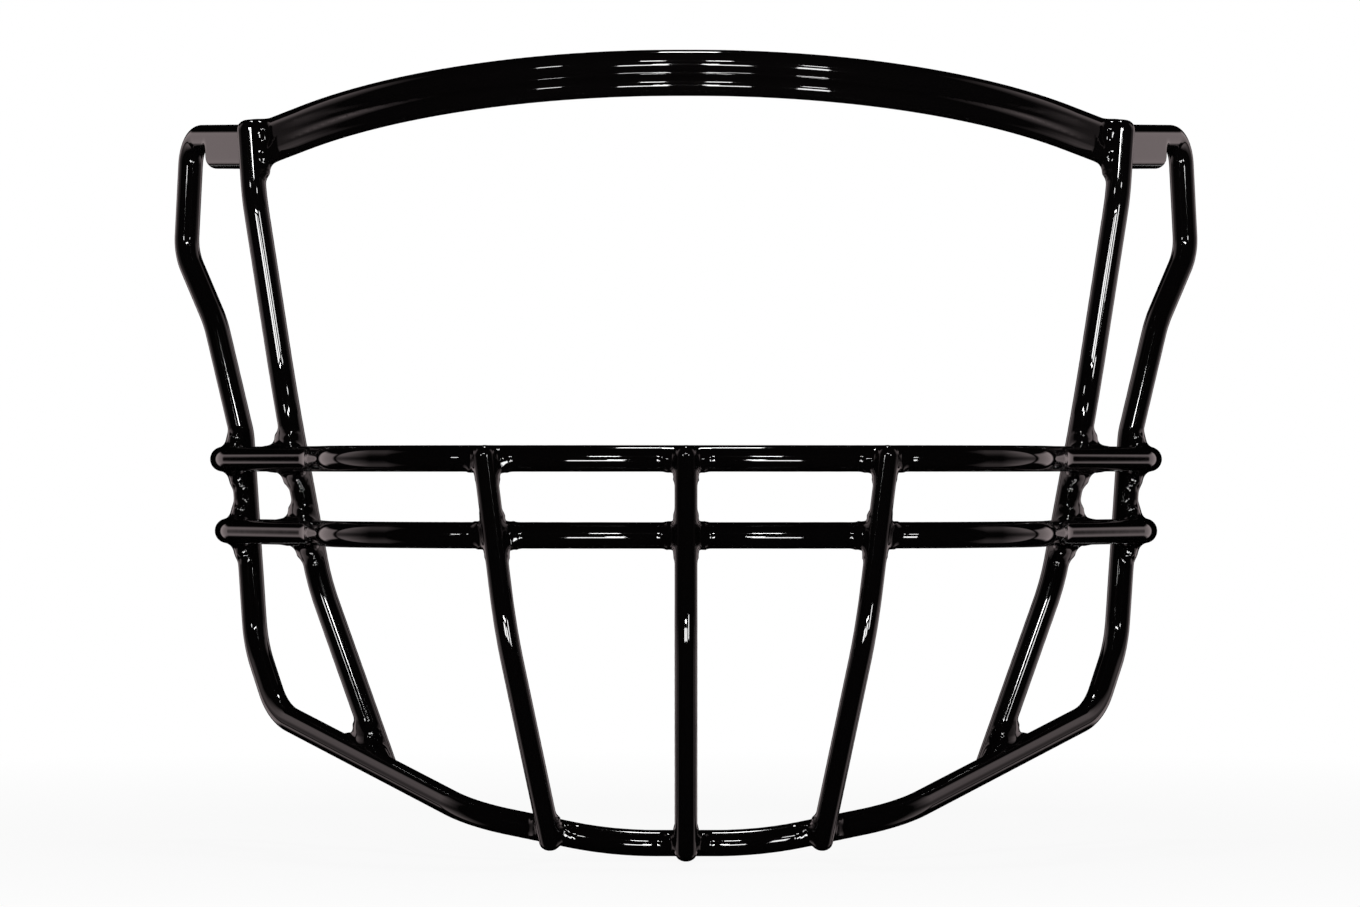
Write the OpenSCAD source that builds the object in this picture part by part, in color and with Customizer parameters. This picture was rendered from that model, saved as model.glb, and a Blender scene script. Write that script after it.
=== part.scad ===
// Football helmet facemask: nine bent steel wires welded into a cage and dipped in a gloss coating.
// Millimetres. X runs across the face, the front is towards -Y and +Z is up.
// The origin is on the mirror plane, level with the upper wrap bar, between the upper clip seats.
// Right means +X. Every left piece is the mirror image of its right piece.

/* [Wire and coating] */
// Bare diameter of the edge, wrap and eye wires
frame_wire_d = 5.2; // [4.8:0.1:5.4]
// Bare diameter of the lower brow wire
brow_wire_d = 4.8; // [4.4:0.1:4.9]
// Bare diameter of the three chin guard wires
chin_wire_d = 4.3; // [3.8:0.1:4.6]
// Thickness of the coating on every wire
coat_t = 0.6; // [0.45:0.05:0.7]
// How far two crossing wires sink into each other where they are welded
set_down = 0.3; // [0.15:0.05:0.4]
// Radius of the nugget of weld metal round each crossing
bead_r = 2.8; // [2.4:0.1:3]
// Half height of the nugget
bead_h = 1.5; // [1.3:0.1:1.7]
// Half height of the nugget at its rim
bead_rim = 0.5; // [0.4:0.1:0.7]
// Chamfer on every cut wire end
end_chamfer = 0.8; // [0.5:0.1:1]
// Radius of the coating round a cut wire end
end_round = 2.4; // [2.2:0.1:2.5]

/* [Brow] */
// Distance of the brow wires in front of the upper clip seats
brow_front = 95; // [90:1:100]
// Height of the edge wire at the middle of the brow
brow_height = 97; // [92:0.5:102]
// Radius of the brow arc
brow_arc_r = 125; // [120:0.5:128]
// Angle of the brow arc on each side of the middle
brow_arc_deg = 49; // [46:0.5:50]
// Fall of the brow arc towards its ends
brow_tilt = 15.2; // [12:0.1:18]
// Half width of the brow where it stops falling and runs up to the hook
brow_kink_x = 109.2; // [108.5:0.1:112]
// Half length of the straight stretch in the middle of the brow
brow_flat = 1.5; // [1:0.1:2.5]
// Gap between the two bare brow wires
brow_gap = 0.14; // [0.1:0.02:0.5]
// Half width of the lower brow wire
brow_end_x = 121.5; // [119:0.5:123]

/* [Side loops] */
// Half width at the top of the upper clip seat
hook_x = 128.3; // [126:0.1:130]
// Height of the hook above the upper wrap bar
hook_z = 83.6; // [82:0.1:87]
// Bend radius of the hook
hook_bend_r = 7; // [6:0.5:9]
// Half width at the foot of the upper clip seat
seat_x = 129.8; // [128:0.1:131]
// Height of the bend under the upper clip seat
seat_z = 53.6; // [50:0.1:55]
// Half width where the side loop has jogged in
jog_x = 121.6; // [120:0.1:123]
// Height where the side loop has jogged in
jog_z = 35.4; // [33:0.1:37]
// Forward set of the jog
jog_y = 8; // [6:0.5:10]
// Half width where the side loop straightens above the wrap bars
loop_x = 114.5; // [113:0.1:116]
// Height where the side loop straightens above the wrap bars
loop_z = 6.4; // [6:0.1:9]
// Forward set of the side loop at the wrap bars
loop_y = 12; // [10:0.5:14]
// Half width at the foot of the lower clip seat
lower_seat_x = 110.7; // [109:0.1:112]
// Depth of the bend under the lower clip seat
lower_seat_z = 47.7; // [46:0.1:50]
// Forward set of the lower clip seat
lower_seat_y = 15; // [13:0.5:17]
// Half width of the lower corner
corner_x = 104.2; // [103:0.1:106]
// Depth of the lower corner
corner_z = 64.9; // [62:0.1:67]
// Forward set of the lower corner
corner_y = 27; // [25:0.5:29]

/* [Jaw] */
// Half width of the jaw shoulder bend
shoulder_x = 52.2; // [50:0.1:54]
// Forward set of the jaw shoulder bend
shoulder_y = 101; // [98:0.5:103]
// Depth of the jaw shoulder bend
shoulder_z = 86.8; // [84:0.1:89]
// Half width of the chin bend
chin_x = 18; // [16:0.5:20]
// Forward set of the chin
chin_y = 112; // [110:0.5:114]
// Depth of the chin
chin_z = 93.2; // [91:0.1:96]

/* [Wrap bars] */
// Forward set of the wrap bars at the middle
wrap_front = 126; // [124:0.5:128]
// Half width of the bends inside the chin guard
wrap_mid_x = 23; // [21:0.5:25]
// Depth of the lower wrap bar below the upper one
wrap_drop = 18.5; // [17:0.1:20]
// Half width of the bend outside the chin guard
wrap_cheek_x = 62; // [60:0.5:64]
// Forward set of the bend outside the chin guard
wrap_cheek_y = 120.6; // [119:0.2:122]
// Half width where the wrap bars turn back
wrap_turn_x = 86; // [84:0.5:88]
// Forward set where the wrap bars turn back
wrap_turn_y = 101; // [99:0.5:103]
// Half width where the wrap bars flare round the helmet
wrap_flare_x = 92.5; // [91:0.5:94]
// Forward set where the wrap bars flare round the helmet
wrap_flare_y = 60; // [58:0.5:62]
// Angle of the wrap tips out from straight back
tip_deg = 10.5; // [8:0.5:13]
// Length of the wrap tips on each side of the side loop
tip_len = 7; // [6:0.5:9]

/* [Eye bars] */
// Half width of the brow wire point where the eye bar crosses it
eye_brow_x = 106.4; // [105.5:0.1:106.8]
// Half width of the wrap bar point that the eye bar is welded to, upper bar
eye_upper_x = 102.8; // [101.5:0.1:104]
// Half width of the wrap bar point that the eye bar is welded to, lower bar
eye_lower_x = 99.1; // [98:0.1:100.5]
// Half width of the jaw bar point that the eye bar is welded to
eye_jaw_x = 80.8; // [79:0.1:82]
// Height of the eye bar's upper bend
eye_bend_z = 15; // [14:0.5:20]
// Depth of the eye bar's lower bend
eye_low_bend_z = 31; // [29:0.5:34]
// Height of the eye bar's bend under the brow
eye_neck_z = 66; // [62:0.5:67]
// Backward lean of the eye bar's top along the brow
eye_top_lean = 0.11; // [0:0.01:0.2]
// Length of the eye bar above the edge wire's axis
eye_top_len = 2.6; // [1.6:0.1:3]
// Length of the eye bar below the jaw bar's axis
eye_foot_len = 5; // [4:0.1:6]

/* [Chin guard] */
// Half width of the outer chin guard wires at the upper wrap bar
guard_top_x = 47.8; // [46:0.1:48]
// Half width of the outer chin guard wires at the lower wrap bar
guard_mid_x = 45.5; // [44:0.1:46.4]
// Half width of the outer chin guard wires at the jaw bar
guard_low_x = 31.5; // [30:0.1:33]
// Depth of the bend in the chin guard wires
guard_bend_z = 41; // [38:0.5:44]
// Length of the chin guard wires below the jaw bar's axis
guard_foot_len = 2.3; // [2:0.1:3.4]

/* [Coating webs] */
// Half thickness of the web of coating at a crossing
web_h = 0.9; // [0.7:0.05:1.2]
// Corner radius of the webs at the chin guard
web_r = 1.9; // [1.4:0.1:2.4]
// Corner radius of the webs at the eye bars and side loops
big_web_r = 3.4; // [2.6:0.1:4]
// Radius of the coating that fills the groove between the brow wires
groove_r = 2.65; // [2.5:0.05:2.8]

/* [Welds] */
// Length of the butt weld in the edge wire
butt_len = 1.5; // [1:0.1:2.5]
// How far the butt weld stands proud of the wire
butt_proud = 0.25; // [0.1:0.05:0.35]
// Length of a tack weld between the brow wires
tack_len = 6; // [4:0.5:8]
// Radius of a tack weld between the brow wires
tack_r = 0.9; // [0.7:0.05:1]
// Distance of a tack weld behind the plane of the brow wires
tack_set = 1.2; // [1:0.05:1.3]

/* [Hidden] */
$fn = 48;
tack_angles = [14, 38];

fr = frame_wire_d / 2;
br = brow_wire_d / 2;
cr = chin_wire_d / 2;
// Height between the two brow wires, axis to axis
brow_pitch = fr + br + brow_gap;
// Bends are this much fatter than the straight runs, and each straight run laps into them
step = 0.02;
lap = 0.2;
// How far the webs of coating reach into the bars
web_lap = 0.15;
// How far a web on one side runs past the axis of its first wire
web_root = 0.6;
// Straight wire left beside a weld
weld_clear = 0.5;
// Facets of the weld nuggets, and of the tack welds that follow the brow arc
weld_fn = 96;
tack_fn = 256;

function unit(v) = v / norm(v);
function turn(u, v) = acos(u * v);
function flip(p) = [-p[0], p[1], p[2]];
function flipped(pts) = [for (i = [len(pts) - 1:-1:0]) flip(pts[i])];
function backward(v) = [for (i = [len(v) - 1:-1:0]) v[i]];
function side(d) = unit(cross(d, abs(d[2]) < 0.8 ? [0, 0, 1] : [1, 0, 0]));
function trim(pts, rads, i, u, v) = rads[i] == 0 ? 0 : rads[i] * tan(turn(u, v) / 2);
function corner_trim(pts, rads, i) = trim(pts, rads, i, unit(pts[i] - pts[i - 1]),
    unit(pts[i + 1] - pts[i]));
// The point of the line a to b whose x is given
function at_x(a, b, x) = a + (b - a) * ((x - a[0]) / (b[0] - a[0]));
// The point of the line a to b whose z is given
function at_z(a, b, z) = a + (b - a) * ((z - a[2]) / (b[2] - a[2]));

// A right-handed frame with its columns x, y, z at p
function place(x, y, z, p) = [
    [x[0], y[0], z[0], p[0]],
    [x[1], y[1], z[1], p[1]],
    [x[2], y[2], z[2], p[2]],
    [0, 0, 0, 1]
];

// A straight run of round wire from a to b
module run(a, b, r, lap_a, lap_b) {
    d = unit(b - a);
    x = side(d);
    multmatrix(place(x, cross(d, x), d, a - d * lap_a))
        cylinder(r = r, h = norm(b - a) + lap_a + lap_b);
}

// A round bend of the wire at corner p, coming along u and leaving along v
module bend(p, u, v, big_r, r) {
    w = unit(v - u * (u * v));
    c = p - u * (big_r * tan(turn(u, v) / 2)) + w * big_r;
    multmatrix(place(-w, u, cross(-w, u), c))
        rotate_extrude(angle = turn(u, v))
            translate([big_r, 0])
                circle(r = r + step);
}

// The bends and straight runs of an open wire, without its two end runs
module open_wire(pts, rads, r) {
    n = len(pts);
    dirs = [for (i = [0:n - 2]) unit(pts[i + 1] - pts[i])];
    for (i = [1:n - 2]) bend(pts[i], dirs[i - 1], dirs[i], rads[i], r);
    for (i = [1:n - 3])
        run(pts[i] + dirs[i] * trim(pts, rads, i, dirs[i - 1], dirs[i]),
            pts[i + 1] - dirs[i] * trim(pts, rads, i + 1, dirs[i], dirs[i + 1]), r, lap, lap);
}

// The bends and straight runs of one wire that closes on itself
module closed_wire(pts, rads, r) {
    n = len(pts);
    dirs = [for (i = [0:n - 1]) unit(pts[(i + 1) % n] - pts[i])];
    for (i = [0:n - 1]) {
        j = (i + 1) % n;
        back = dirs[(i + n - 1) % n];
        bend(pts[i], back, dirs[i], rads[i], r);
        run(pts[i] + dirs[i] * trim(pts, rads, i, back, dirs[i]),
            pts[j] - dirs[i] * trim(pts, rads, j, dirs[i], dirs[j]), r, lap, lap);
    }
}

// Half section of an end run of length h: bare wire with a chamfered tip
module bare_section(r, h) {
    polygon([[0, -lap], [r, -lap], [r, h - end_chamfer], [r - end_chamfer, h], [0, h]]);
}

// Half section of an end run of length h: coating with a rounded tip
module skin_section(r, h) {
    q = r - end_round;
    g = h + coat_t - end_round;
    translate([0, -lap]) square([r, g + lap]);
    translate([0, g]) square([q, end_round]);
    intersection() {
        translate([q, g]) circle(r = end_round);
        translate([q, g]) square([end_round, end_round]);
    }
}

// Places an end run that comes from p towards the tip of the wire
module end_run(tip, p, back) {
    d = unit(tip - p);
    x = side(d);
    multmatrix(place(x, cross(d, x), d, p + d * back)) rotate_extrude() children();
}

// One open wire whose metal ends at its first and last point
module wire(pts, rads, r) {
    n = len(pts);
    t0 = corner_trim(pts, rads, 1);
    t1 = corner_trim(pts, rads, n - 2);
    open_wire(pts, rads, r);
    end_run(pts[0], pts[1], t0) bare_section(r, norm(pts[0] - pts[1]) - t0);
    end_run(pts[n - 1], pts[n - 2], t1) bare_section(r, norm(pts[n - 1] - pts[n - 2]) - t1);
}

// The outside of the coating on that wire
module skin(pts, rads, r) {
    n = len(pts);
    t0 = corner_trim(pts, rads, 1);
    t1 = corner_trim(pts, rads, n - 2);
    open_wire(pts, rads, r + coat_t);
    end_run(pts[0], pts[1], t0) skin_section(r + coat_t, norm(pts[0] - pts[1]) - t0);
    end_run(pts[n - 1], pts[n - 2], t1)
        skin_section(r + coat_t, norm(pts[n - 1] - pts[n - 2]) - t1);
}

module both() {
    children();
    mirror([1, 0, 0]) children();
}

// Corners of the edge wire, right half, from the brow round to the chin
brow_v = [brow_arc_r * tan(brow_arc_deg / 2) + brow_flat, -brow_front, brow_height];
brow_dir = [
    cos(brow_arc_deg),
    sin(brow_arc_deg) * cos(brow_tilt),
    -sin(brow_arc_deg) * sin(brow_tilt)
];
kink = brow_v + brow_dir * ((brow_kink_x - brow_v[0]) / brow_dir[0]);
hook = [hook_x, 0, hook_z];
seat = [seat_x, 0, seat_z];
jog = [jog_x, -jog_y, jog_z];
loop = [loop_x, -loop_y, loop_z];
lower_seat = [lower_seat_x, -lower_seat_y, -lower_seat_z];
corner = [corner_x, -corner_y, -corner_z];
shoulder = [shoulder_x, -shoulder_y, -shoulder_z];
chin = [chin_x, -chin_y, -chin_z];
edge_half = [brow_v, kink, hook, seat, jog, loop, lower_seat, corner, shoulder, chin];
edge_half_r = [brow_arc_r, 8, hook_bend_r, 14, 20, 20, 20, 20, 30, 60];
edge_pts = concat(edge_half, flipped(edge_half));
edge_r = concat(edge_half_r, backward(edge_half_r));

// Lower brow wire
drop = [0, 0, -brow_pitch];
brow_end = at_x(kink, hook, brow_end_x) + drop;
brow_half = [brow_v + drop, kink + drop, brow_end];
brow_pts = concat(flipped(brow_half), brow_half);
brow_r = [0, 8, brow_arc_r, brow_arc_r, 8, 0];

// Wrap bars: each passes outside the side loops and is welded to them
cross_gap = 2 * fr - set_down;
tip_dir = [sin(tip_deg), cos(tip_deg), 0];
tip_out = [cos(tip_deg), -sin(tip_deg), 0];
function wrap_half(z) = let (
    on_loop = at_z(loop, lower_seat, z),
    at_tip = on_loop + tip_out * cross_gap
) [
    [wrap_mid_x, -wrap_front, z],
    [wrap_cheek_x, -wrap_cheek_y, z],
    [wrap_turn_x, -wrap_turn_y, z],
    [wrap_flare_x, -wrap_flare_y, z],
    at_tip - tip_dir * tip_len,
    at_tip + tip_dir * tip_len
];
wrap_half_r = [150, 40, 38, 18, 18, 0];
function wrap_pts(z) = let (h = wrap_half(z)) concat(flipped(h), h);
wrap_r = concat(backward(wrap_half_r), wrap_half_r);
upper_pts = wrap_pts(0);
lower_pts = wrap_pts(-wrap_drop);
upper_half = wrap_half(0);
lower_half = wrap_half(-wrap_drop);

// A crossing: point on the first wire's axis, unit normal to the second wire, axis distance,
// the two directions and the two bare radii
function crossing(p, a, b, toward, gap, ra, rb) = let (
    n = unit(cross(a, b)),
    m = n * toward < 0 ? -n : n
) [p, m, gap, unit(a), unit(b), ra, rb];
function along(c, b) = [c[0], c[1], c[2], c[3], b, c[5], c[6]];
function far_axis(c) = c[0] + c[1] * c[2];
function middle(c) = c[0] + c[1] * ((c[2] + c[5] - c[6]) / 2);

// Eye bars: in front of the brow wires, behind the wrap bars and the jaw bar
inward = [-0.8, 0.6, 0];
brow_mid = at_x(brow_v, kink, eye_brow_x) + drop / 2;
eye_dir_top = unit([0, 0, 1] + brow_dir * eye_top_lean);
eye_q1 = brow_mid + unit(cross(brow_dir, [0, 0, 1])) * cross_gap;
eye_neck = at_z(eye_q1, eye_q1 + eye_dir_top, eye_neck_z);
flare_dir_u = unit(upper_half[4] - upper_half[3]);
flare_dir_l = unit(lower_half[4] - lower_half[3]);
eye_n2 = crossing(at_x(upper_half[3], upper_half[4], eye_upper_x), flare_dir_u,
    [0.2, 0.28, 1], inward, cross_gap, fr, fr);
eye_n3 = crossing(at_x(lower_half[3], lower_half[4], eye_lower_x), flare_dir_l,
    [0.2, 0.28, 1], inward, cross_gap, fr, fr);
eye_q2 = far_axis(eye_n2);
eye_q3 = far_axis(eye_n3);
eye_dir_mid = unit(eye_q2 - eye_q3);
eye_x2 = along(eye_n2, eye_dir_mid);
eye_x3 = along(eye_n3, eye_dir_mid);
jaw_dir = unit(corner - shoulder);
eye_n4 = crossing(at_x(shoulder, corner, eye_jaw_x), jaw_dir,
    [0.33, 0.2, 1], inward, cross_gap, fr, fr);
eye_q4 = far_axis(eye_n4);
eye_v1 = at_z(eye_q3, eye_q2, eye_bend_z);
eye_v2 = at_z(eye_q3, eye_q2, -eye_low_bend_z);
eye_dir_foot = unit(eye_q4 - eye_v2);
eye_x4 = along(eye_n4, eye_dir_foot);
eye_top = eye_q1 + eye_dir_top * (eye_top_len + brow_pitch / 2);
eye_foot = eye_q4 + eye_dir_foot * eye_foot_len;
eye_pts = [eye_top, eye_neck, eye_v1, eye_v2, eye_foot];
// The bend above the wrap bars ends clear of the weld on the upper one
eye_turn = turn(unit(eye_neck - eye_v1), unit(eye_v1 - eye_v2));
eye_bend_r = min(50, (norm(eye_v1 - eye_q2) - bead_r - weld_clear) / tan(eye_turn / 2));
eye_r = [0, 30, eye_bend_r, 60, 0];
// Each brow crossing holds the point of the brow wire that lies nearest to the eye bar
function nearest(p, a, q, b) = let (n = cross(a, b)) p + a * (cross(q - p, b) * n) / (n * n);
function meet(p, a, q, b, ra, rb) = let (
    s = nearest(p, a, q, b),
    t = nearest(q, b, p, a)
) [s, unit(t - s), norm(t - s), a, b, ra, rb];
eye_x1 = meet(brow_mid - drop / 2, brow_dir, eye_q1, eye_dir_top, fr, fr);
eye_x0 = meet(brow_mid + drop / 2, brow_dir, eye_q1, eye_dir_top, br, fr);

// Chin guard: in front of the wrap bars and the jaw bar
guard_gap = fr + cr - set_down;
ahead = [0, -1, 0];
cheek_dir = unit(upper_half[1] - upper_half[0]);
guard_n1 = crossing(at_x(upper_half[0], upper_half[1], guard_top_x), cheek_dir,
    [0.12, 0, 1], ahead, guard_gap, fr, cr);
guard_n2 = crossing(at_x(lower_half[0], lower_half[1], guard_mid_x), cheek_dir,
    [0.12, 0, 1], ahead, guard_gap, fr, cr);
chin_dir = unit(shoulder - chin);
guard_n3 = crossing(at_x(chin, shoulder, guard_low_x), chin_dir,
    [0.2, -0.3, 1], ahead, guard_gap, fr, cr);
guard_q1 = far_axis(guard_n1);
guard_q2 = far_axis(guard_n2);
guard_q3 = far_axis(guard_n3);
guard_v = at_z(guard_q2, guard_q1, -guard_bend_z);
guard_x1 = along(guard_n1, unit(guard_q1 - guard_q2));
guard_x2 = along(guard_n2, unit(guard_q1 - guard_q2));
guard_x3 = along(guard_n3, unit(guard_v - guard_q3));
guard_top = at_z(guard_q2, guard_q1, fr);
guard_foot = guard_q3 + unit(guard_q3 - guard_v) * guard_foot_len;
guard_pts = [guard_top, guard_v, guard_foot];
mid_x1 = crossing([0, -wrap_front, 0], [1, 0, 0], [0, 0, 1], ahead, guard_gap, fr, cr);
mid_x2 = crossing([0, -wrap_front, -wrap_drop], [1, 0, 0], [0, 0, 1], ahead, guard_gap,
    fr, cr);
mid_n3 = crossing([0, -chin_y, -chin_z], [1, 0, 0], [0, -0.3, 1], ahead, guard_gap, fr, cr);
mid_v = [0, far_axis(mid_x1)[1], -guard_bend_z];
mid_x3 = along(mid_n3, unit(mid_v - far_axis(mid_n3)));
mid_foot = far_axis(mid_x3) + unit(far_axis(mid_x3) - mid_v) * guard_foot_len;
mid_pts = [[0, far_axis(mid_x1)[1], fr], mid_v, mid_foot];
guard_r = [0, 55, 0];

// Side loop crossings
function loop_x_at(z) = crossing(at_z(loop, lower_seat, z), unit(loop - lower_seat), tip_dir,
    tip_out, cross_gap, fr, fr);
loop_x1 = loop_x_at(0);
loop_x2 = loop_x_at(-wrap_drop);

// Nugget of weld metal round one crossing
module bead(c) {
    multmatrix(place(c[3], cross(c[1], c[3]), c[1], middle(c)))
        rotate_extrude()
            polygon([
                [0, -bead_h], [bead_r - bead_h + bead_rim, -bead_h], [bead_r, -bead_rim],
                [bead_r, bead_rim], [bead_r - bead_h + bead_rim, bead_h], [0, bead_h]
            ]);
}

// The first and the second wire of a crossing, near it
reach = 8;
module first_wire(c) { run(c[0] - c[3] * reach, c[0] + c[3] * reach, c[5], 0, 0); }
module second_wire(c) {
    q = far_axis(c);
    run(q - c[4] * reach, q + c[4] * reach, c[6], 0, 0);
}
module weld(c) {
    $fn = weld_fn;
    difference() {
        bead(c);
        first_wire(c);
        second_wire(c);
    }
}

// Web of coating in the corners of one crossing, hollowed to corner radius rr. Sides lists on which
// sides of the first wire it lies: 1 towards b, -1 away from b
module web(c, rr, sides) {
    x = c[3];
    y = cross(c[1], x);
    sn = c[4] * y;
    cs = c[4] * x;
    da = c[5] + coat_t - web_lap + rr;
    db = c[6] + coat_t - web_lap + rr;
    rows = [min(-web_root, min(sides) * da), max(web_root, max(sides) * da)];
    function corner_at(t, v) = [(t * db + v * cs) / sn, v];
    multmatrix(place(x, y, c[1], middle(c)))
        linear_extrude(height = 2 * web_h, center = true)
            difference() {
                polygon([
                    corner_at(1, rows[0]), corner_at(1, rows[1]),
                    corner_at(-1, rows[1]), corner_at(-1, rows[0])
                ]);
                for (s = sides, t = [-1, 1]) translate(corner_at(t, s * da)) circle(r = rr);
            }
}

// Bare shapes before the weld notches are cut
module edge_bare() { closed_wire(edge_pts, edge_r, fr); }
module brow_bare() { wire(brow_pts, brow_r, br); }
module upper_bare() { wire(upper_pts, wrap_r, fr); }
module lower_bare() { wire(lower_pts, wrap_r, fr); }
module eye_bare() { wire(eye_pts, eye_r, fr); }
module guard_bare() { wire(guard_pts, guard_r, cr); }
module mid_bare() { wire(mid_pts, guard_r, cr); }
// Outsides of the coating
module edge_skin() { closed_wire(edge_pts, edge_r, fr + coat_t); }
module brow_skin() { skin(brow_pts, brow_r, br); }
module upper_skin() { skin(upper_pts, wrap_r, fr); }
module lower_skin() { skin(lower_pts, wrap_r, fr); }
module eye_skin() { skin(eye_pts, eye_r, fr); }
module guard_skin() { skin(guard_pts, guard_r, cr); }
module mid_skin() { skin(mid_pts, guard_r, cr); }

steel = [0.62, 0.63, 0.65];
weld_grey = [0.42, 0.42, 0.45];
black = [0.05, 0.05, 0.055];

// A point on the arc of the edge wire over the brow, a degrees from its start
function brow_arc(a) = [
    brow_flat + brow_arc_r * sin(a),
    -brow_front + brow_arc_r * (1 - cos(a)) * cos(brow_tilt),
    brow_height - brow_arc_r * (1 - cos(a)) * sin(brow_tilt)
];

// The butt weld that closes the edge wire
module butt_bare() {
    translate([-butt_len / 2, -brow_front, brow_height])
        rotate([0, 90, 0])
            cylinder(r = fr + butt_proud, h = butt_len);
}

// A run of weld metal in the groove behind the brow wires at p, along d
module tack_rod(p, d) {
    back = unit(cross([0, 0, 1], d));
    run(p + drop / 2 + back * tack_set - d * tack_len / 2,
        p + drop / 2 + back * tack_set + d * tack_len / 2, tack_r, 0, 0);
}
module arc_tack(a) { tack_rod(brow_arc(a), unit(brow_arc(a + 0.5) - brow_arc(a - 0.5))); }
module end_tack() { tack_rod(at_x(kink, hook, brow_end_x - tack_len), unit(hook - kink)); }

// All welds as whole shapes
module all_weld_shapes() {
    butt_bare();
    both() {
        for (a = tack_angles) arc_tack(a);
        end_tack();
    }
    for (c = [mid_x1, mid_x2, mid_x3]) bead(c);
    both()
        for (c = [eye_x0, eye_x1, eye_x2, eye_x3, eye_x4, loop_x1, loop_x2, guard_x1, guard_x2,
            guard_x3]) bead(c);
}

// Edge wire: brow, hooks, side loops and jaw in one length, closed by a butt weld at the brow
module edge_wire() {
    color(steel)
        difference() {
            edge_bare();
            translate([-butt_len / 2, -brow_front - 10, brow_height - 10])
                cube([butt_len, 20, 20]);
        }
}

// Lower brow wire, laid under the edge wire
module brow_wire() {
    color(steel) brow_bare();
}

// Wrap bars, notched where they sink into the side loops
module upper_wrap_wire() {
    color(steel)
        difference() {
            upper_bare();
            both() first_wire(loop_x1);
        }
}
module lower_wrap_wire() {
    color(steel)
        difference() {
            lower_bare();
            both() first_wire(loop_x2);
        }
}

// Eye bars, notched where they sink into the bars that they cross
module right_eye_wire() {
    color(steel)
        difference() {
            eye_bare();
            for (c = [eye_x0, eye_x1, eye_x2, eye_x3, eye_x4]) first_wire(c);
        }
}
module left_eye_wire() {
    mirror([1, 0, 0]) right_eye_wire();
}

// Chin guard wires, notched where they sink into the bars that they cross
module right_guard_wire() {
    color(steel)
        difference() {
            guard_bare();
            for (c = [guard_x1, guard_x2, guard_x3]) first_wire(c);
        }
}
module left_guard_wire() {
    mirror([1, 0, 0]) right_guard_wire();
}
module middle_guard_wire() {
    color(steel)
        difference() {
            mid_bare();
            for (c = [mid_x1, mid_x2, mid_x3]) first_wire(c);
        }
}

// Butt weld that closes the edge wire
module edge_butt_weld() {
    color(weld_grey) butt_bare();
}

// Tack welds between the two brow wires
module brow_tack_welds() {
    color(weld_grey)
        both() {
            $fn = tack_fn;
            difference() {
                for (a = tack_angles) arc_tack(a);
                bend(brow_v, [1, 0, 0], brow_dir, brow_arc_r, fr);
                bend(brow_v + drop, [1, 0, 0], brow_dir, brow_arc_r, br);
            }
            difference() {
                end_tack();
                run(kink, hook, fr, 0, 0);
                run(kink + drop, hook + drop, br, 0, 0);
            }
        }
}

// Welds between the eye bars and the brow wires
module brow_eye_welds() {
    color(weld_grey)
        both() {
            $fn = weld_fn;
            difference() {
                union() {
                    bead(eye_x0);
                    bead(eye_x1);
                }
                first_wire(eye_x0);
                first_wire(eye_x1);
                second_wire(eye_x0);
            }
        }
}

// Welds between the wrap bars and the side loops
module upper_loop_welds() {
    color(weld_grey) both() weld(loop_x1);
}
module lower_loop_welds() {
    color(weld_grey) both() weld(loop_x2);
}

// Welds between the wrap bars and the eye bars
module upper_eye_welds() {
    color(weld_grey) both() weld(eye_x2);
}
module lower_eye_welds() {
    color(weld_grey) both() weld(eye_x3);
}

// Welds between the wrap bars and the chin guard wires
module upper_guard_welds() {
    color(weld_grey) {
        both() weld(guard_x1);
        weld(mid_x1);
    }
}
module lower_guard_welds() {
    color(weld_grey) {
        both() weld(guard_x2);
        weld(mid_x2);
    }
}

// Welds between the jaw bar and the eye bars
module jaw_eye_welds() {
    color(weld_grey) both() weld(eye_x4);
}

// Welds between the jaw bar and the chin guard wires
module jaw_guard_welds() {
    color(weld_grey) {
        both() weld(guard_x3);
        weld(mid_x3);
    }
}

// One skin of coating over the whole welded cage
module coating() {
    color(black)
        difference() {
            union() {
                edge_skin();
                brow_skin();
                open_wire([for (p = brow_pts) p - drop / 2], brow_r, groove_r);
                both() run(kink - drop / 2, brow_end - drop / 2, groove_r, -2, -3);
                upper_skin();
                lower_skin();
                both() {
                    eye_skin();
                    guard_skin();
                    for (c = [eye_x2, eye_x3, loop_x1, loop_x2]) web(c, big_web_r, [-1, 1]);
                    web(eye_x0, big_web_r, [-1]);
                    web(eye_x4, big_web_r, [-1]);
                    web(guard_x1, web_r, [-1]);
                    web(guard_x2, web_r, [-1, 1]);
                    web(guard_x3, web_r, [1]);
                }
                mid_skin();
                web(mid_x1, web_r, [-1]);
                web(mid_x2, web_r, [-1, 1]);
                web(mid_x3, web_r, [1]);
            }
            edge_bare();
            brow_bare();
            upper_bare();
            lower_bare();
            both() {
                eye_bare();
                guard_bare();
            }
            mid_bare();
            all_weld_shapes();
        }
}

// Which node to draw

coating();
edge_wire();
brow_wire();
upper_wrap_wire();
lower_wrap_wire();
right_eye_wire();
left_eye_wire();
right_guard_wire();
middle_guard_wire();
left_guard_wire();
edge_butt_weld();
brow_tack_welds();
brow_eye_welds();
upper_loop_welds();
lower_loop_welds();
upper_eye_welds();
lower_eye_welds();
upper_guard_welds();
lower_guard_welds();
jaw_eye_welds();
jaw_guard_welds();
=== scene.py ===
"""Looks of the football helmet facemask: one gloss coating over the welded wires, in a white studio.

Metres. X runs across the face, the front is towards -Y and +Z is up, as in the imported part.
"""

from math import cos, pi, radians, sin, tan

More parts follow.
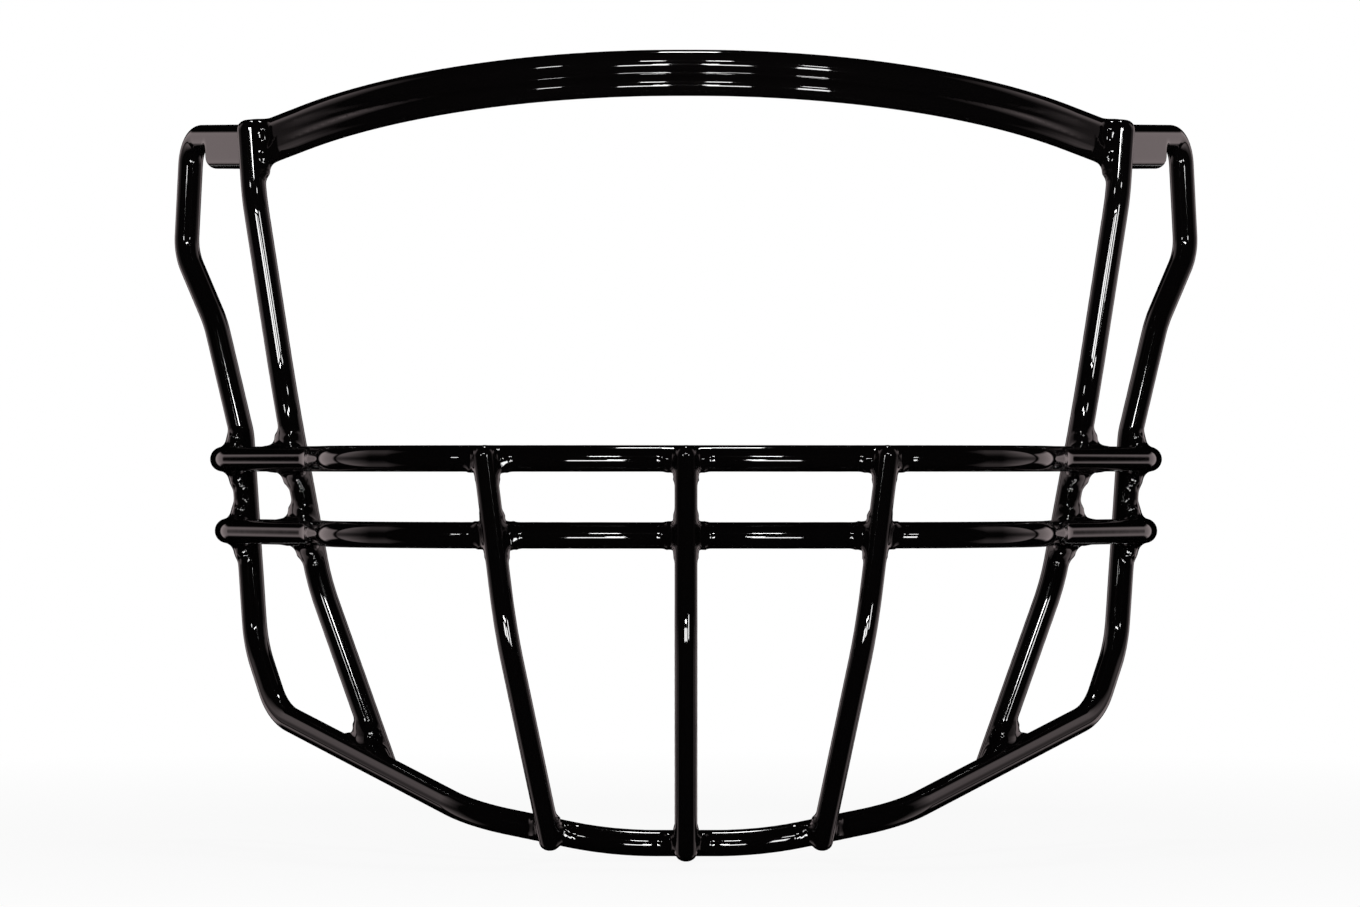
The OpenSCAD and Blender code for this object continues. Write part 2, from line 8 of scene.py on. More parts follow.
import bpy
import numpy as np
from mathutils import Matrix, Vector

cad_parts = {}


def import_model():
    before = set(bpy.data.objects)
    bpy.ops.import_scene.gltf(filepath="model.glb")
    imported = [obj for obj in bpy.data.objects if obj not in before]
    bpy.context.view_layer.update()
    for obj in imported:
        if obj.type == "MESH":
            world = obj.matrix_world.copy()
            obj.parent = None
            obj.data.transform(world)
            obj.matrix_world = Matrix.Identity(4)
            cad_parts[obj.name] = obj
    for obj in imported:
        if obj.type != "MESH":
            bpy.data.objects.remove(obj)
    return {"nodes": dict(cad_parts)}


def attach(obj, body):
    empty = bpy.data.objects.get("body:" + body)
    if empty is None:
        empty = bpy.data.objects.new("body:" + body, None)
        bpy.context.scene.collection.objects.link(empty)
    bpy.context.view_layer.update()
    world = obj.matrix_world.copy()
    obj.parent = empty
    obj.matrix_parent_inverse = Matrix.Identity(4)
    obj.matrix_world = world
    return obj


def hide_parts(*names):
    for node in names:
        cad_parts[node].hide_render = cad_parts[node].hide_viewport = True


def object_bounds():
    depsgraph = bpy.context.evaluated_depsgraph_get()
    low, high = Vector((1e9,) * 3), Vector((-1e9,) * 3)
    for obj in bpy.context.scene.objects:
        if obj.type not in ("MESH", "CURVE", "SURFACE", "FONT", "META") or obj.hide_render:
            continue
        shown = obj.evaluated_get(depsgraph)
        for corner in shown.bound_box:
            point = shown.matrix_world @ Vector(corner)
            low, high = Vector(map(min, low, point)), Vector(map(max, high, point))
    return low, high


# Wire and coating
FRAME_R = 0.0026
BROW_R = 0.0024
CHIN_R = 0.00215
COAT = 0.0006
SET_DOWN = 0.0003
END_ROUND = 0.0024
WELDED_GAP = 2 * FRAME_R - SET_DOWN

# Brow, whose two wires lie one above the other
BROW_FRONT = 0.095
BROW_HEIGHT = 0.097
BROW_ARC_R = 0.125
BROW_ARC = radians(49)
BROW_TILT = radians(15.2)
BROW_FLAT = 0.0015
BROW_KINK_X = 0.1092
BROW_KINK_R = 0.008
BROW_GAP = 0.00014
BROW_PITCH = FRAME_R + BROW_R + BROW_GAP
BROW_END_X = 0.1215

# Corners of the edge wire below the brow, right half, and the radii of its bends from the middle of the brow
HOOK = np.array([0.1283, 0, 0.0836])
SEAT = np.array([0.1298, 0, 0.0536])
JOG = np.array([0.1216, -0.008, 0.0354])
LOOP = np.array([0.1145, -0.012, 0.0064])
LOWER_SEAT = np.array([0.1107, -0.015, -0.0477])
CORNER = np.array([0.1042, -0.027, -0.0649])
SHOULDER = np.array([0.0522, -0.101, -0.0868])
CHIN = np.array([0.018, -0.112, -0.0932])
EDGE_BENDS = (BROW_ARC_R, BROW_KINK_R, 0.007, 0.014, 0.020, 0.020, 0.020, 0.020, 0.030, 0.060)

# Wrap bars: height of each, corners seen from above, and tips that lean outwards
WRAP_FRONT = 0.126
WRAP_MID_X = 0.023
WRAP_CHEEK = (0.062, -0.1206)
WRAP_TURN = (0.086, -0.101)
WRAP_FLARE = (0.0925, -0.060)
WRAP_DROP = 0.0185
WRAP_HEIGHTS = {"upper": 0.0, "lower": -WRAP_DROP}
WRAP_BENDS = (0.150, 0.040, 0.038, 0.018, 0.018, 0)
TIP_ANGLE = radians(10.5)
TIP_LEN = 0.007

# Eye bars: where they cross the brow, the wraps and the jaw bar, and where they bend
EYE_BROW_X = 0.1064
EYE_UPPER_X = 0.1028
EYE_LOWER_X = 0.0991
EYE_JAW_X = 0.0808
EYE_NECK_Z = 0.066
EYE_BEND_Z = 0.015
EYE_LOW_BEND_Z = -0.031
EYE_TOP_LEAN = 0.11
EYE_TOP_LEN = 0.0026
EYE_FOOT_LEN = 0.005
EYE_BENDS = (0, 0.030, 0.050, 0.060, 0)
EYE_LEAN = (0.2, 0.28, 1)
EYE_FOOT_LEAN = (0.33, 0.2, 1)

# Chin guard
GUARD_TOP_X = 0.0478
GUARD_MID_X = 0.0455
GUARD_LOW_X = 0.0315
GUARD_BEND_Z = -0.041
GUARD_FOOT_LEN = 0.0023
GUARD_BENDS = (0, 0.055, 0)
GUARD_LEAN = (0.12, 0, 1)
GUARD_FOOT_LEAN = (0.2, -0.3, 1)
MIDDLE_FOOT_LEAN = (0, -0.3, 1)

# Directions, and the places of two coordinates in a point
ACROSS, AHEAD, UPRIGHT = (1, 0, 0), (0, -1, 0), (0, 0, 1)
INWARD = (-0.8, 0.6, 0)
X, Z = 0, 2

# Coating where bars cross: the webs, on one or both sides of the first bar, and the fillets
WEB_HALF = 0.0009
WEB_ROUND = 0.0008
WEB_LAP = 0.0006
WEB_R = 0.0019
BIG_WEB_R = 0.0034
WEB_FILLET = 0.0026
BAR_FILLET = 0.0012
BIG_BAR_FILLET = 0.0030
BELOW, ABOVE, BOTH_SIDES = (-1,), (1,), (-1, 1)
GROOVE_FILLET = (0.0010, 0.0030)
GROOVE_FADE_X = (0.080, 0.108)

# Mesh of the coating: its grid, the plain tubes and plates that it starts from, and how it is moved onto the
# exact surface
VOXEL = 0.00075
TUBE_SIDES = 14
TUBE_SEAM = (0.3, 0.2, 1)
BEND_STEP = radians(5)
PLATE_SHARE = 0.7
REACH = 0.006
PROBE = 0.00002
TINY = 1e-6
LEAST_SLOPE = 0.05
EVENING = 0.6
FIRST_ROUNDS, EVEN_ROUNDS, LAST_ROUNDS = 4, 3, 2

# Floor, with the share of white that the camera sees at its middle and from the end of the fade on
FLOOR_R = 0.6
FLOOR_SHADE = (0.95, 0.95, 0.95, 1)
FLOOR_WHITE = 0.92
FLOOR_FADE = (0.15, 0.5)

# Panels and wall that the gloss shows, in degrees: how far round from the front they begin and end, and
# between which heights they fade out. Near the horizon the panels are dimmer.
PANEL_START, PANEL_END = (82, 110), (116, 118)
PANEL_RISE = (34, 50)
PANEL_DIM = 0.3
PANEL_DIM_RISE = (4, 16)
WALL_START, WALL_END = (120, 123), (146, 150)
WALL_RISE = (15, 20)
ROOM_COLOUR = (1, 0.84, 0.85, 1)
FILL_COLOUR, FILL = (0.8, 0.8, 0.8, 1), 0.25
WHITE = (1, 1, 1, 1)
LAMP_DISTANCE = 1.7

# Camera: place, aim and field of view that give the photograph's framing
IMAGE_W, IMAGE_H = 1360, 907
CAMERA_DISTANCE = 1.677
CAMERA_HEIGHT = -0.00247
SENSOR_MM = 36
PIXELS_PER_UNIT_SLOPE = 6457
CENTRE_PX = (686.0, 468.7)


# Points and directions


def unit(v):
    v = np.asarray(v, float)
    return v / np.linalg.norm(v)


def flip(p):
    """The twin of a point or direction on the other side of the face."""
    return np.array([-p[0], p[1], p[2]])


def flipped(points):
    """The twins of a half bar's points in reverse order, so that they join the half end to end."""
    return [flip(p) for p in reversed(points)]


def at(a, b, axis, value):
    """The point of the line from a to b whose coordinate on that axis is value."""
    return a + (b - a) * ((value - a[axis]) / (b[axis] - a[axis]))


# Form of the coating, as distances


class Run:
    """A straight stretch of coated bar. Where cut is True its far end is rounded off."""

    def __init__(self, a, b, radius, cut=False):
        self.a, self.length, self.dir = a, np.linalg.norm(b - a), unit(b - a)
        self.radius, self.cut = radius, cut
        self.low, self.high = np.minimum(a, b) - radius, np.maximum(a, b) + radius
        self.line = [a, b]

    def distance(self, p):
        along = (p - self.a) @ self.dir
        off = np.linalg.norm(p - self.a - along[:, None] * self.dir, axis=1)
        if not self.cut:
            return np.hypot(off, along - np.clip(along, 0, self.length)) - self.radius
        off = np.hypot(off, np.minimum(along, 0)) - (self.radius - END_ROUND)
        past = along - (self.length + COAT - END_ROUND)
        return rounded(off, past) - END_ROUND


class Bend:
    """A round bend of coated bar at a corner, coming along u and leaving along v."""

    def __init__(self, corner, u, v, bend_r, radius):
        w = unit(v - u * (u @ v))
        self.angle = np.arccos(u @ v)
        self.centre = corner - u * (bend_r * tan(self.angle / 2)) + w * bend_r
        self.axes = np.array([-w, u, np.cross(-w, u)])
        self.bend_r, self.radius = bend_r, radius
        steps = max(2, int(self.angle / BEND_STEP) + 1)
        self.line = [self.point(self.angle * i / steps) for i in range(steps + 1)]
        self.low, self.high = np.min(self.line, axis=0) - radius, np.max(self.line, axis=0) + radius

    def point(self, angle):
        return self.centre + self.bend_r * (cos(angle) * self.axes[0] + sin(angle) * self.axes[1])

    def distance(self, p):
        x, y, z = self.axes @ (p - self.centre).T
        turned = np.arctan2(y, x)
        inside = (turned >= 0) & (turned <= self.angle)
        to_start, to_end = [np.linalg.norm(p - end, axis=1) for end in (self.line[0], self.line[-1])]
        to_arc = np.hypot(np.hypot(x, y) - self.bend_r, z)
        return np.where(inside, to_arc, np.minimum(to_start, to_end)) - self.radius


class Bar:
    """One coated bar, as its straight runs and bends."""

    def __init__(self, points, bends, bare, closed=False):
        radius, count = bare + COAT, len(points)
        legs = count if closed else count - 1
        dirs = [unit(points[(i + 1) % count] - points[i]) for i in range(legs)]
        trims = [0.0] * count
        self.parts, turns = [], {}
        for i in range(count):
            if bends[i]:
                turns[i] = Bend(points[i], dirs[i - 1], dirs[i], bends[i], radius)
                trims[i] = bends[i] * tan(turns[i].angle / 2)
        for i in range(legs):
            j = (i + 1) % count
            a, b = points[i] + dirs[i] * trims[i], points[j] - dirs[i] * trims[j]
            if closed or 0 < i < legs - 1:
                run = Run(a, b, radius)
            else:
                run = Run(a, b, radius, True) if i else Run(b, a, radius, True)
            self.parts += [turns[i], run] if i in turns else [run]
        self.radius, self.closed = radius, closed

    def line(self):
        """Points along the whole axis, in order."""
        out = []
        for i, part in enumerate(self.parts):
            backwards = isinstance(part, Run) and part.cut and i == 0
            for p in reversed(part.line) if backwards else part.line:
                if not out or np.linalg.norm(p - out[-1]) > TINY:
                    out.append(p)
        return out[:-1] if self.closed else out

    def distance(self, p):
        return nearest_of(self.parts, p)


class Web:
    """The coating that gathers in the corners of one crossing, with a rounded rim. Sides lists on which sides
    of the first bar it lies: 1 above, -1 below."""

    def __init__(self, crossing, corner_r, sides):
        c = crossing
        x, y = c.a, np.cross(c.normal, c.a)
        y = y if y[2] > 0 else -y
        self.axes, self.centre, self.corner_r = np.array([x, y, c.normal]), c.middle(), corner_r
        self.sn, self.cs = c.b @ y, c.b @ x
        self.half_a = c.ra + COAT - WEB_LAP + corner_r
        self.half_b = c.rb + COAT - WEB_LAP + corner_r
        self.rows = min(0, min(sides) * self.half_a), max(0, max(sides) * self.half_a)
        self.hollows = [
            ((t * self.half_b + s * self.half_a * self.cs) / self.sn, s * self.half_a)
            for s in sides
            for t in (-1, 1)
        ]
        self.rim = max(np.hypot(*h) for h in self.hollows)
        self.low, self.high = self.centre - self.rim, self.centre + self.rim

    def line(self):
        """The middles of its two faces."""
        half = self.axes[2] * WEB_HALF
        return [self.centre - half, self.centre + half]

    def distance(self, p):
        x, y, z = self.axes @ (p - self.centre).T
        hollow = self.corner_r - np.min([np.hypot(x - a, y - b) for a, b in self.hollows], axis=0)
        ends = np.maximum(y - self.rows[1], self.rows[0] - y)
        flat = np.maximum(hollow, np.maximum(ends, np.abs(x * self.sn - y * self.cs) - self.half_b))
        thick = np.abs(z) - WEB_HALF
        return rounded(flat + WEB_ROUND, thick + WEB_ROUND) - WEB_ROUND


def rounded(a, b):
    """Distance to what two forms have in common, with round level lines outside their shared edge."""
    return np.minimum(np.maximum(a, b), 0) + np.hypot(np.maximum(a, 0), np.maximum(b, 0))


def merged(a, b, fillet):
    """Distance to two forms at once, with a hollow fillet of that radius where they meet."""
    u, v = np.maximum(fillet - a, 0), np.maximum(fillet - b, 0)
    return np.maximum(fillet, np.minimum(a, b)) - np.hypot(u, v)


def nearest_of(parts, p):
    """Distance to the nearest of these parts, or the reach where none is near."""
    out = np.full(len(p), REACH)
    for part in parts:
        near = np.all((p > part.low - REACH) & (p < part.high + REACH), axis=1)
        if near.any():
            out[near] = np.minimum(out[near], part.distance(p[near]))
    return out


def smooth_step(x, low, high):
    t = np.clip((x - low) / (high - low), 0, 1)
    return t * t * (3 - 2 * t)


# Bars and their crossings


class Crossing:
    """Two bars welded together: a point on the first bar's axis, the normal towards the second bar, the
    distance of the axes, both directions and both bare radii."""

    def __init__(self, point, a, b, toward, ra, rb, gap=None):
        normal = unit(np.cross(a, b))
        self.point, self.a, self.b, self.ra, self.rb = point, unit(a), unit(b), ra, rb
        self.normal = normal if normal @ np.asarray(toward, float) > 0 else -normal
        self.gap = ra + rb - SET_DOWN if gap is None else gap

    def far_axis(self):
        return self.point + self.normal * self.gap

    def middle(self):
        return self.point + self.normal * ((self.gap + self.ra - self.rb) / 2)

    def along(self, b):
        """The same crossing once the second bar's own direction is known."""
        self.b = unit(b)
        return self

    def mirrored(self):
        other = Crossing(flip(self.point), flip(self.a), flip(self.b), flip(self.normal), self.ra, self.rb)
        other.normal, other.gap = flip(self.normal), self.gap
        return other


def meeting(p, a, q, b, ra, rb):
    """The crossing of two skew bars, through p along a and through q along b."""
    n = np.cross(a, b)
    s = p + a * (np.cross(q - p, b) @ n) / (n @ n)
    t = q + b * (np.cross(p - q, a) @ -n) / (n @ n)
    return Crossing(s, a, b, t - s, ra, rb, np.linalg.norm(t - s))


class Cage:
    """All coated bars and the webs where they cross. The right half is worked out and the left mirrors it."""

    def __init__(self):
        self.bars, self.webs = {}, []
        self.start = np.array([BROW_ARC_R * tan(BROW_ARC / 2) + BROW_FLAT, -BROW_FRONT, BROW_HEIGHT])
        across, fall = cos(BROW_ARC), sin(BROW_ARC)
        self.brow_dir = np.array([across, fall * cos(BROW_TILT), -fall * sin(BROW_TILT)])
        self.kink = self.start + self.brow_dir * ((BROW_KINK_X - self.start[0]) / self.brow_dir[0])
        self.drop = np.array([0, 0, -BROW_PITCH])
        self.add_edge_wire()
        self.add_lower_brow_wire()
        self.wraps = [self.add_wrap(name, height) for name, height in WRAP_HEIGHTS.items()]
        self.add_eye_bars()
        self.add_side_guards()
        self.add_middle_guard()

    def join(self, crossing, corner_r, sides=BOTH_SIDES, twice=True):
        """Puts a web at a crossing, and at its twin on the left if there is one."""
        self.webs.append(Web(crossing, corner_r, sides))
        if twice:
            self.webs.append(Web(crossing.mirrored(), corner_r, sides))

    def add_edge_wire(self):
        half = [self.start, self.kink, HOOK, SEAT, JOG, LOOP, LOWER_SEAT, CORNER, SHOULDER, CHIN]
        self.bars["edge"] = Bar(half + flipped(half), EDGE_BENDS + EDGE_BENDS[::-1], FRAME_R, closed=True)

    def add_lower_brow_wire(self):
        end = at(self.kink, HOOK, X, BROW_END_X)
        half = [p + self.drop for p in (self.start, self.kink, end)]
        bends = (BROW_ARC_R, BROW_KINK_R, 0)
        self.bars["brow"] = Bar(flipped(half) + half, bends[::-1] + bends, BROW_R)

    def add_wrap(self, name, height):
        """One wrap bar, joined to the side loops. Gives its right half, from the middle to the tip."""
        tip = np.array([sin(TIP_ANGLE), cos(TIP_ANGLE), 0])
        outward = np.array([cos(TIP_ANGLE), -sin(TIP_ANGLE), 0])
        on_loop = at(LOOP, LOWER_SEAT, Z, height)
        end = on_loop + outward * WELDED_GAP
        corners = ((WRAP_MID_X, -WRAP_FRONT), WRAP_CHEEK, WRAP_TURN, WRAP_FLARE)
        half = [np.array([*p, height]) for p in corners]
        half += [end - tip * TIP_LEN, end + tip * TIP_LEN]
        self.bars[name] = Bar(flipped(half) + half, WRAP_BENDS[::-1] + WRAP_BENDS, FRAME_R)
        self.join(Crossing(on_loop, LOOP - LOWER_SEAT, tip, outward, FRAME_R, FRAME_R), BIG_WEB_R)
        return half

    def add_pair(self, kind, points, bends, bare):
        """A bar on the right and its twin on the left."""
        self.bars[f"right_{kind}"] = Bar(points, bends, bare)
        self.bars[f"left_{kind}"] = Bar([flip(p) for p in points], bends, bare)

    def add_eye_bars(self):
        brow_mid = at(self.start, self.kink, X, EYE_BROW_X) + self.drop / 2
        top_dir = unit(UPRIGHT + self.brow_dir * EYE_TOP_LEAN)
        on_brow = brow_mid + unit(np.cross(self.brow_dir, UPRIGHT)) * WELDED_GAP
        neck = at(on_brow, on_brow + top_dir, Z, EYE_NECK_Z)
        on_wraps = [
            Crossing(at(w[3], w[4], X, x), w[4] - w[3], EYE_LEAN, INWARD, FRAME_R, FRAME_R)
            for w, x in zip(self.wraps, (EYE_UPPER_X, EYE_LOWER_X))
        ]
        foot = at(SHOULDER, CORNER, X, EYE_JAW_X)
        jaw = Crossing(foot, CORNER - SHOULDER, EYE_FOOT_LEAN, INWARD, FRAME_R, FRAME_R)
        upper, lower = [c.far_axis() for c in on_wraps]
        bend, low_bend = [at(lower, upper, Z, z) for z in (EYE_BEND_Z, EYE_LOW_BEND_Z)]
        foot_dir = unit(jaw.far_axis() - low_bend)
        top = on_brow + top_dir * (EYE_TOP_LEN + BROW_PITCH / 2)
        points = [top, neck, bend, low_bend, jaw.far_axis() + foot_dir * EYE_FOOT_LEN]
        self.add_pair("eye", points, EYE_BENDS, FRAME_R)
        for crossing in on_wraps:
            self.join(crossing.along(upper - lower), BIG_WEB_R)
        self.join(jaw.along(foot_dir), BIG_WEB_R, ABOVE)
        on_lower_brow = meeting(brow_mid + self.drop / 2, self.brow_dir, on_brow, top_dir, BROW_R, FRAME_R)
        self.join(on_lower_brow, BIG_WEB_R, BELOW)

    def guard_points(self, tops, low, twice):
        """Points of a chin guard bar, which is joined to the wraps and to the jaw bar below them."""
        upper, lower = [c.far_axis() for c in tops]
        bend = at(lower, upper, Z, GUARD_BEND_Z)
        foot_dir = unit(low.far_axis() - bend)
        three = [c.along(upper - lower) for c in tops] + [low.along(foot_dir)]
        for crossing, sides in zip(three, (BELOW, BOTH_SIDES, ABOVE)):
            self.join(crossing, WEB_R, sides, twice)
        return [at(lower, upper, Z, FRAME_R), bend, low.far_axis() + foot_dir * GUARD_FOOT_LEN]

    def add_side_guards(self):
        cheek = self.wraps[0][1] - self.wraps[0][0]
        tops = [
            Crossing(at(w[0], w[1], X, x), cheek, GUARD_LEAN, AHEAD, FRAME_R, CHIN_R)
            for w, x in zip(self.wraps, (GUARD_TOP_X, GUARD_MID_X))
        ]
        foot = at(CHIN, SHOULDER, X, GUARD_LOW_X)
        low = Crossing(foot, SHOULDER - CHIN, GUARD_FOOT_LEAN, AHEAD, FRAME_R, CHIN_R)
        self.add_pair("guard", self.guard_points(tops, low, True), GUARD_BENDS, CHIN_R)

    def add_middle_guard(self):
        tops = [
            Crossing(np.array([0, -WRAP_FRONT, z]), ACROSS, UPRIGHT, AHEAD, FRAME_R, CHIN_R)
            for z in WRAP_HEIGHTS.values()
        ]
        foot = np.array([0, *CHIN[1:]])
        low = Crossing(foot, ACROSS, MIDDLE_FOOT_LEAN, AHEAD, FRAME_R, CHIN_R)
        self.bars["middle_guard"] = Bar(self.guard_points(tops, low, False), GUARD_BENDS, CHIN_R)


# Mesh of the coating


class Coating:
    """The outside of the coating as a distance field."""

    def __init__(self, cage):
        self.bars, self.webs = cage.bars, cage.webs

    def distance(self, p):
        fade = smooth_step(np.abs(p[:, 0]), *GROOVE_FADE_X)
        groove = GROOVE_FILLET[0] + (GROOVE_FILLET[1] - GROOVE_FILLET[0]) * fade
        out = merged(self.bars["edge"].distance(p), self.bars["brow"].distance(p), groove)
        for name, bar in self.bars.items():
            if name not in ("edge", "brow"):
                out = merged(out, bar.distance(p), BAR_FILLET if "guard" in name else BIG_BAR_FILLET)
        return merged(out, nearest_of(self.webs, p), WEB_FILLET)

    def slope(self, p, here):
        """The field's gradient at p, where its value is here."""
        steps = np.eye(3) * PROBE
        return np.stack([(self.distance(p + s) - here) / PROBE for s in steps], axis=1)

    def normals(self, p):
        g = self.slope(p, self.distance(p))
        return g / np.linalg.norm(g, axis=1, keepdims=True)

    def settle(self, p, rounds):
        """Moves the points onto the outside of the coating, by a voxel at most in each round."""
        for _ in range(rounds):
            here = self.distance(p)
            g = self.slope(p, here)
            move = g * (here / np.maximum((g * g).sum(axis=1), LEAST_SLOPE))[:, None]
            length = np.linalg.norm(move, axis=1, keepdims=True)
            p = p - move * np.minimum(1, VOXEL / np.maximum(length, TINY * VOXEL))
        return p


def tube(line, radius, closed):
    """Vertices and faces of a plain tube round a line of points."""
    line = np.array(line)
    if closed:
        ahead = np.roll(line, -1, axis=0) - line
    else:
        ahead = np.diff(line, axis=0)
        ahead = np.vstack([ahead, ahead[-1]])
    ahead /= np.linalg.norm(ahead, axis=1, keepdims=True)
    back = np.roll(ahead, 1, axis=0)
    if not closed:
        back[0] = ahead[0]
    verts, side = [], unit(np.cross(ahead[0], TUBE_SEAM))
    angles = [2 * pi * k / TUBE_SIDES for k in range(TUBE_SIDES)]
    for place, along in zip(line, ahead + back):
        along = unit(along)
        side = unit(side - along * (side @ along))
        up = np.cross(along, side)
        verts += [place + radius * (cos(a) * side + sin(a) * up) for a in angles]
    faces = []
    for i in range(len(line) if closed else len(line) - 1):
        ring, following, twist = i * TUBE_SIDES, (i + 1) % len(line) * TUBE_SIDES, 0
        if closed and following == 0:
            twist = int(np.argmin([np.linalg.norm(v - verts[ring]) for v in verts[:TUBE_SIDES]]))
        for k in range(TUBE_SIDES):
            n = (k + 1) % TUBE_SIDES
            across = [following + (m + twist) % TUBE_SIDES for m in (n, k)]
            faces.append((ring + k, ring + n, *across))
    if not closed:
        faces.append(tuple(range(TUBE_SIDES - 1, -1, -1)))
        faces.append(tuple(range(len(verts) - TUBE_SIDES, len(verts))))
    return verts, faces


def rough_skin(cage):
    """One closed mesh near the outside of the coating: plain tubes and plates, fused on a voxel grid."""
    forms = [(bar.line(), bar.radius, bar.closed) for bar in cage.bars.values()]
    forms += [(web.line(), web.rim * PLATE_SHARE, False) for web in cage.webs]
    verts, faces = [], []
    for form in forms:
        more, polygons = tube(*form)
        faces += [tuple(i + len(verts) for i in polygon) for polygon in polygons]
        verts += more
    mesh = bpy.data.meshes.new("rough_skin")
    mesh.from_pydata([tuple(v) for v in verts], [], faces)
    rough = bpy.data.objects.new("rough_skin", mesh)
    bpy.context.scene.collection.objects.link(rough)
    remesh = rough.modifiers.new("fuse", "REMESH")
    remesh.mode = "VOXEL"
    remesh.voxel_size = VOXEL
    remesh.adaptivity = 0
    graph = bpy.context.evaluated_depsgraph_get()
    fused = bpy.data.meshes.new_from_object(rough.evaluated_get(graph))
    bpy.data.objects.remove(rough)
    return fused


def rows_of(items, name, width, kind=float):
    """One value of each vertex or edge of a mesh, as the rows of an array."""
    values = np.empty(len(items) * width, kind)
    items.foreach_get(name, values)
    return values.reshape(-1, width)


def evened(points, edges, normals):
    """Slides each point along the surface towards the middle of its neighbours."""
    total, count = np.zeros_like(points), np.zeros(len(points))
    for a, b in (edges.T, edges.T[::-1]):
        np.add.at(total, a, points[b])
        np.add.at(count, a, 1)
    slide = total / count[:, None] - points
    slide -= normals * (slide * normals).sum(axis=1, keepdims=True)
    return points + EVENING * slide


def coating_skin():
    """The coating as one closed skin over all the bars."""
    cage = Cage()
    field = Coating(cage)
    mesh = rough_skin(cage)
    points = field.settle(rows_of(mesh.vertices, "co", 3), FIRST_ROUNDS)
    edges = rows_of(mesh.edges, "vertices", 2, int)
    for _ in range(EVEN_ROUNDS):
        points = field.settle(evened(points, edges, field.normals(points)), 1)
    points = field.settle(points, LAST_ROUNDS)
    mesh.vertices.foreach_set("co", points.ravel())
    mesh.update()
    mesh.shade_smooth()
    mesh.normals_split_custom_set_from_vertices([tuple(n) for n in field.normals(points)])
    mesh.name = "coating_skin"
    skin = bpy.data.objects.new("coating_skin", mesh)
    bpy.context.scene.collection.objects.link(skin)
    return skin


# Shader nodes


def new_material(name):
    """A material with its node tree and its Principled shader."""
    material = bpy.data.materials.new(name)
    material.use_nodes = True
    return material, material.node_tree, material.node_tree.nodes["Principled BSDF"]


def feed(tree, value, socket):
    """Gives a socket a number, or the value of another socket."""
    if isinstance(value, (int, float)):
        socket.default_value = value
    else:
        tree.links.new(value, socket)


def noise(tree, scale, detail, stretch=(1, 1, 1)):
    """A noise texture in the object's own space."""
    place = tree.nodes.new("ShaderNodeTexCoord")
    mapping = tree.nodes.new("ShaderNodeMapping")
    mapping.inputs["Scale"].default_value = stretch
    texture = tree.nodes.new("ShaderNodeTexNoise")
    texture.inputs["Scale"].default_value = scale
    texture.inputs["Detail"].default_value = detail
    tree.links.new(place.outputs["Object"], mapping.inputs["Vector"])
    tree.links.new(mapping.outputs["Vector"], texture.inputs["Vector"])
    return texture.outputs["Fac"]


def spread(tree, value, low, high, start=0.3, end=0.7):
    """A value between start and end turned into one between low and high."""
    node = tree.nodes.new("ShaderNodeMapRange")
    node.inputs["From Min"].default_value = start
    node.inputs["From Max"].default_value = end
    node.inputs["To Min"].default_value = low
    node.inputs["To Max"].default_value = high
    tree.links.new(value, node.inputs["Value"])
    return node.outputs["Result"]


def ramp(tree, value, dark, light):
    """A colour between two, for a value from 0 to 1."""
    node = tree.nodes.new("ShaderNodeValToRGB")
    node.color_ramp.elements[0].color = dark
    node.color_ramp.elements[1].color = light
    tree.links.new(value, node.inputs["Fac"])
    return node.outputs["Color"]


def arithmetic(tree, operation, *values):
    """One step of arithmetic on sockets or numbers, or the length of a vector."""
    node = tree.nodes.new("ShaderNodeVectorMath" if operation == "LENGTH" else "ShaderNodeMath")
    node.operation = operation
    for value, socket in zip(values, node.inputs):
        feed(tree, value, socket)
    return node.outputs["Value"]


def product(tree, first, *others):
    """Sockets or numbers multiplied."""
    for other in others:
        first = arithmetic(tree, "MULTIPLY", first, other)
    return first


def bump(tree, shader, height, distance, strength):
    node = tree.nodes.new("ShaderNodeBump")
    node.inputs["Distance"].default_value = distance
    node.inputs["Strength"].default_value = strength
    tree.links.new(height, node.inputs["Height"])
    tree.links.new(node.outputs["Normal"], shader.inputs["Normal"])


def mixed(tree, share, first, second):
    """Two shaders mixed, with that share of the second."""
    node = tree.nodes.new("ShaderNodeMixShader")
    for value, socket in zip((share, first, second), node.inputs):
        tree.links.new(value, socket)
    return node.outputs["Shader"]


def light_path(tree, *names):
    """1 where a ray is of one of these kinds."""
    node = tree.nodes.new("ShaderNodeLightPath")
    value = node.outputs[names[0]]
    for name in names[1:]:
        value = arithmetic(tree, "MAXIMUM", value, node.outputs[name])
    return value


# Materials of the part


def coating_material():
    """Black gloss coating: nearly a mirror, with a faint waviness and small changes of gloss."""
    material, tree, shader = new_material("gloss_black_coating")
    shader.inputs["Base Color"].default_value = (0.0024, 0.0020, 0.0021, 1)
    shader.inputs["IOR"].default_value = 1.5
    patches = noise(tree, scale=90, detail=3)
    tree.links.new(spread(tree, patches, low=0.03, high=0.055), shader.inputs["Roughness"])
    waves = noise(tree, scale=260, detail=1)
    bump(tree, shader, waves, distance=0.00004, strength=0.12)
    return material


def steel_material():
    """Drawn steel wire under the coating: fine lines and a dull shine."""
    material, tree, shader = new_material("drawn_steel")
    shader.inputs["Metallic"].default_value = 1
    lines = noise(tree, scale=900, detail=4, stretch=(1, 1, 0.1))
    shade = ramp(tree, spread(tree, lines, 0, 1), dark=(0.30, 0.30, 0.31, 1), light=(0.52, 0.52, 0.53, 1))
    tree.links.new(shade, shader.inputs["Base Color"])
    patches = noise(tree, scale=400, detail=3)
    tree.links.new(spread(tree, patches, low=0.3, high=0.5), shader.inputs["Roughness"])
    return material


